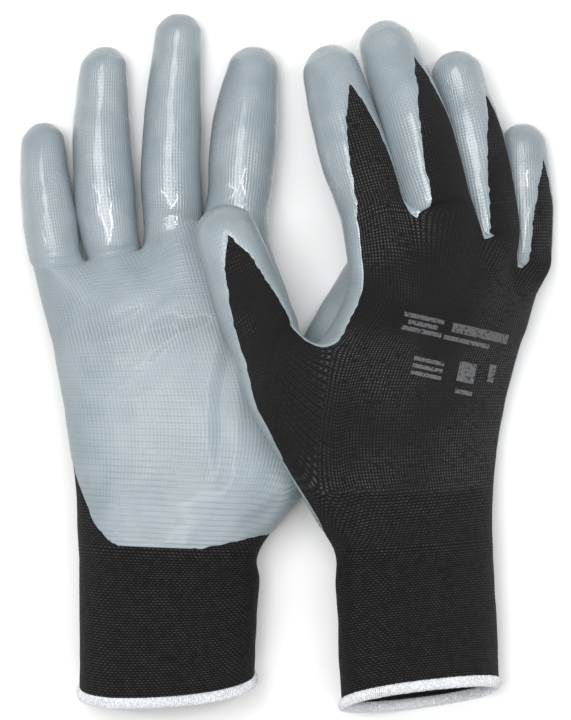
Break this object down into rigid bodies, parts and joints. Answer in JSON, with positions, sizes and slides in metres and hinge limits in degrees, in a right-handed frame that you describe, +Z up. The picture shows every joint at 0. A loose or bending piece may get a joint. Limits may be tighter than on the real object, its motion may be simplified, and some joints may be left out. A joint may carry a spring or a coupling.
{
  "type": "work gloves",
  "caption": "Pair of knitted work gloves with a smooth dipped coating over palm and fingertips, ribbed cuffs and overlocked hems, lying flat with one glove partly over the other.",
  "frame": {"origin": "on the table, under the middle of the pair's box", "axes": "+Z up from the table, +Y towards the fingertips, +X to the right with the fingertips away"},
  "size_m": [0.1948, 0.2518, 0.0642],
  "materials": {
    "liner": "matte",
    "coating": "satin",
    "rib": "matte",
    "edging": "matte"
  },
  "bodies": {
    "lower_palm": {"lower_palm_knit": "liner", "lower_palm_coating": "coating"},
    "lower_thumb": {"lower_thumb_stall": "liner", "lower_thumb_coating": "coating"},
    "lower_index": {"lower_index_stall": "liner", "lower_index_coating": "coating"},
    "lower_middle": {"lower_middle_stall": "liner", "lower_middle_coating": "coating"},
    "lower_ring": {"lower_ring_stall": "liner", "lower_ring_coating": "coating"},
    "lower_little": {"lower_little_stall": "liner", "lower_little_coating": "coating"},
    "lower_cuff": {"lower_ribbed_cuff": "rib", "lower_cuff_edging": "edging"},
    "upper_palm": {"upper_palm_knit": "liner", "upper_palm_coating": "coating"},
    "upper_thumb": {"upper_thumb_stall": "liner", "upper_thumb_coating": "coating"},
    "upper_index": {"upper_index_stall": "liner", "upper_index_coating": "coating"},
    "upper_middle": {"upper_middle_stall": "liner", "upper_middle_coating": "coating"},
    "upper_ring": {"upper_ring_stall": "liner", "upper_ring_coating": "coating"},
    "upper_little": {"upper_little_stall": "liner", "upper_little_coating": "coating"},
    "upper_cuff": {"upper_ribbed_cuff": "rib", "upper_cuff_edging": "edging"}
  },
  "joints": [
    {"name": "lower_thumb_swing", "type": "hinge", "parent": "lower_palm", "child": "lower_thumb", "pos_m": [0.00142, 0.00177, 0.0145], "axis": [0.0126, 0.0229, 0.9997], "range_deg": [0, 22]},
    {"name": "lower_index_bend", "type": "hinge", "parent": "lower_palm", "child": "lower_index", "pos_m": [-0.01818, 0.06022, 0.02634], "axis": [0.9934, -0.1149, 0], "range_deg": [0, 85]},
    {"name": "lower_middle_bend", "type": "hinge", "parent": "lower_palm", "child": "lower_middle", "pos_m": [-0.04246, 0.05357, 0.02474], "axis": [0.9993, -0.0384, 0], "range_deg": [0, 85]},
    {"name": "lower_ring_bend", "type": "hinge", "parent": "lower_palm", "child": "lower_ring", "pos_m": [-0.06476, 0.04188, 0.02453], "axis": [0.9994, 0.0349, 0], "range_deg": [0, 85]},
    {"name": "lower_little_bend", "type": "hinge", "parent": "lower_palm", "child": "lower_little", "pos_m": [-0.08477, 0.03738, 0.02566], "axis": [0.9942, 0.108, 0], "range_deg": [0, 85]},
    {"name": "lower_wrist_bend", "type": "hinge", "parent": "lower_palm", "child": "lower_cuff", "pos_m": [-0.04419, -0.06715, 0.0384], "axis": [-0.9984, -0.0558, 0], "range_deg": [0, 60]},
    {"name": "upper_thumb_swing", "type": "hinge", "parent": "upper_palm", "child": "upper_thumb", "pos_m": [0.00683, 0.00419, 0.05098], "axis": [0.051, -0.1387, -0.989], "range_deg": [0, 22]},
    {"name": "upper_index_bend", "type": "hinge", "parent": "upper_palm", "child": "upper_index", "pos_m": [0.03042, 0.05247, 0.05481], "axis": [0.9603, 0.279, 0], "range_deg": [0, 85]},
    {"name": "upper_middle_bend", "type": "hinge", "parent": "upper_palm", "child": "upper_middle", "pos_m": [0.05627, 0.04962, 0.0523], "axis": [0.9568, 0.278, -0.0854], "range_deg": [0, 85]},
    {"name": "upper_ring_bend", "type": "hinge", "parent": "upper_palm", "child": "upper_ring", "pos_m": [0.08023, 0.04281, 0.03378], "axis": [0.7667, 0.0719, -0.638], "range_deg": [0, 85]},
    {"name": "upper_little_bend", "type": "hinge", "parent": "upper_palm", "child": "upper_little", "pos_m": [0.09416, 0.03529, 0.01582], "axis": [0.6429, 0.0057, -0.7659], "range_deg": [0, 85]},
    {"name": "upper_wrist_bend", "type": "hinge", "parent": "upper_palm", "child": "upper_cuff", "pos_m": [0.05384, -0.06715, 0.04016], "axis": [-0.8925, 0.1064, 0.4384], "range_deg": [0, 60]},
    {"name": "upper_glove_lift", "type": "slide", "parent": "lower_palm", "child": "upper_palm", "axis": [0, 0, 1], "range_m": [0, 0.12]}
  ]
}
